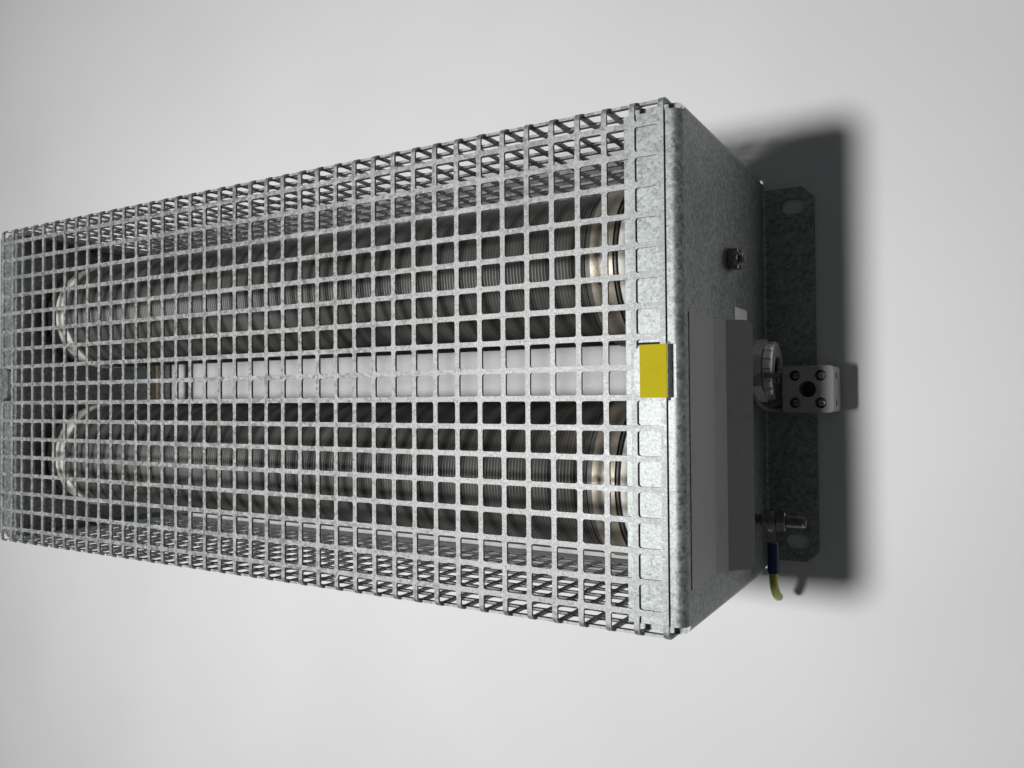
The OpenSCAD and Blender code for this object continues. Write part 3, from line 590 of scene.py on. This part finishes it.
def threaded_bar(name, node, axis, span, threads, head=0.0):
    """An M5 bar along X, threaded on the stretches named, with an optional hexagon head."""
    low, high = span
    depth = 0.55 * M5_PITCH
    start = low + head
    rings = [(start, 0.0), (start, M5_RADIUS - (0 if head else depth))]
    at = start
    for a, b in threads:
        if a > at + MM:
            rings += [(at + THREAD_RUNOUT, M5_RADIUS), (a - THREAD_RUNOUT, M5_RADIUS)]
        rings += helix_rings(a, b, M5_PITCH, M5_RADIUS, depth, THREAD_SHAPE)
        at = b
    rings += [(high, M5_RADIUS - depth), (high, 0.0)]
    verts = along(*axis, rings, THREAD_STEPS)
    faces = ring_faces(len(rings), THREAD_STEPS)
    if head:
        corner = M5_FLATS / 2 / math.cos(math.pi / 6)
        base = len(verts)
        for x, r in ((low, corner * 0.93), (low + 0.5 * MM, corner), (start, corner)):
            verts += along(*axis, [(x, r)], 6)
        faces += [[v + base for v in f] for f in ring_faces(3, 6)]
        faces += [[base + k for k in range(5, -1, -1)], [base + 12 + k for k in range(6)]]
    add_piece(name, verts, faces, "zinc_steel", node, smooth=30.0)


def washer_rings(start, end):
    return [(start, M5_RADIUS), (start, WASHER_RADIUS), (end, WASHER_RADIUS), (end, M5_RADIUS),
            (start, M5_RADIUS)]


def nut_rings(start, end):
    """A hexagon nut with its corners turned off at both faces."""
    corner = M5_FLATS / 2 / math.cos(math.pi / 6)
    rim = M5_FLATS / 2 * 0.97
    cut = 0.35 * MM

    def hexagon(x, most):
        def row(a):
            flat = M5_FLATS / 2 / math.cos((a + math.pi / 6) % (math.pi / 3) - math.pi / 6)
            return x, min(flat, most)
        return row

    return [(start, M5_RADIUS), hexagon(start, rim), hexagon(start + cut, corner),
            hexagon(end - cut, corner), hexagon(end, rim), (end, M5_RADIUS), (start, M5_RADIUS)]


def rod_pair(name, node, rings, steps):
    """One lathed form on each tie rod's axis, as one piece."""
    verts, faces = [], []
    for side in (1, -1):
        base = len(verts)
        verts += along(side * TUBE_SPAN / 2, TUBE_Z, rings, steps)
        faces += [tuple(v + base for v in f) for f in ring_faces(len(rings), steps)]
    add_piece(name, verts, faces, SLOT_OF[node], node)


def make_rod_fasteners():
    """Nuts and washers on the rods' ends, seated on the plates' outer faces."""
    for end, turn in (("front", 1), ("rear", -1)):
        nuts, washers = end + "_rod_nuts", end + "_rod_washers"
        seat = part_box(washers)[0 if turn > 0 else 1].x
        top = seat + turn * WASHER_DEPTH
        rod_pair(nuts + "_small", nuts, nut_rings(*sorted((top, top + turn * NUT_DEPTH))),
                 NUT_STEPS)
        rod_pair(washers + "_small", washers, washer_rings(*sorted((seat, top))), WASHER_STEPS)


def make_threads():
    """The tie rods, threaded at both ends, and the earth stud."""
    beyond = WASHER_DEPTH + NUT_DEPTH + ROD_TIP
    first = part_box("rear_rod_washers")[1].x - beyond
    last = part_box("front_rod_washers")[0].x + beyond
    ends = ((first + END_CHAMFER, first + ROD_THREAD), (last - ROD_THREAD, last - END_CHAMFER))
    for side, name in ((1, "left_tie_rod"), (-1, "right_tie_rod")):
        threaded_bar(name + "_threaded", name, (side * TUBE_SPAN / 2, TUBE_Z), (first, last), ends)
    low, high = (corner.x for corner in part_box("earth_stud"))
    threaded_bar("earth_stud_threaded", "earth_stud", STUD_AXIS, (low, high),
                 ((low + STUD_HEAD + STUD_SHANK, high - END_CHAMFER),), STUD_HEAD)


# ---------- leads and the earth wire ----------

# The same points as the solids' routes, in millimetres
LEAD_A = [(171.5, 17.90, 32.53), (184, 16, 31), (196, 6, 38), (201, -1.2, 40.6), (206, -4.2, 41.9),
          (209.5, -4.6, 42), (214, -4.4, 41.8), (216.5, -2.5, 35.86), (219.5, -1.45, 32.36),
          (221.95, -1.45, 28.36), (222.05, -1.45, 17.6), (223.8, -1.45, 13.6), (226.8, -1.45, 13.6)]
LEAD_B = [(171.5, -17.90, 32.53), (184, -18, 31), (196, -12, 38), (201, -9.4, 40.6),
          (206, -7.7, 41.9), (209.5, -7.4, 42), (214, -7.6, 41.8), (216, -13, 36), (218, -15.6, 26),
          (220.5, -15.4, 17), (223.4, -13.15, 13.6), (226.8, -13.15, 13.6)]
EARTH = [(219.3, -81.9, 25), (219.3, -85.9, 25), (219.0, -90.9, 23.5), (219.1, -95.9, 19.6),
         (219.3, -98.1, 15.7)]


def smooth_route(points, steps):
    """The same curve through the points as the solids use, in metres."""
    p = [Vector(q) * MM for q in points]
    out = []
    for i in range(len(p) - 1):
        a, b, c, d = p[max(i - 1, 0)], p[i], p[i + 1], p[min(i + 2, len(p) - 1)]
        for j in range(steps):
            t = j / steps
            bend = 2 * a - 5 * b + 4 * c - d + t * (3 * (b - c) + d - a)
            out.append(b + 0.5 * t * (c - a + t * bend))
    return out + [p[-1]]


LEAD_SIZE = 2.4 * MM
EARTH_SIZE = 3.7 * MM


def route_tube(name, node, points, diameter, slot):
    """A round tube along a route, that stands for a plain solid."""
    steps = 24
    line = smooth_route(points, 8)
    side = Vector((0, 1, 0))
    verts = []
    for i, at in enumerate(line):
        ahead = (line[min(i + 1, len(line) - 1)] - line[max(i - 1, 0)]).normalized()
        side = (side - ahead * side.dot(ahead)).normalized()
        up = ahead.cross(side)
        for k in range(steps):
            a = 2 * math.pi * k / steps
            verts.append(at + (side * math.cos(a) + up * math.sin(a)) * diameter / 2)
    faces = [tuple(reversed(f)) for f in ring_faces(len(line), steps)]
    faces += [tuple(range(steps)), tuple(len(verts) - 1 - k for k in range(steps))]
    add_piece(name, verts, faces, slot, node)


def make_wires():
    route_tube("lead_a_sleeved", "lead_a", LEAD_A, LEAD_SIZE, "lead_olive")
    route_tube("lead_b_sleeved", "lead_b", LEAD_B, LEAD_SIZE, "lead_grey")
    route_tube("earth_wire_round", "earth_wire_stub", EARTH, EARTH_SIZE, "earth_insulation")


make_camera()
make_light()
make_floor()
dress_nodes()
make_cover()
make_winding(1, "left_winding_turns", "left_winding")
make_winding(-1, "right_winding_turns", "right_winding")
make_threads()
make_rod_fasteners()
make_wires()

bpy.context.scene.view_settings.view_transform = "Standard"
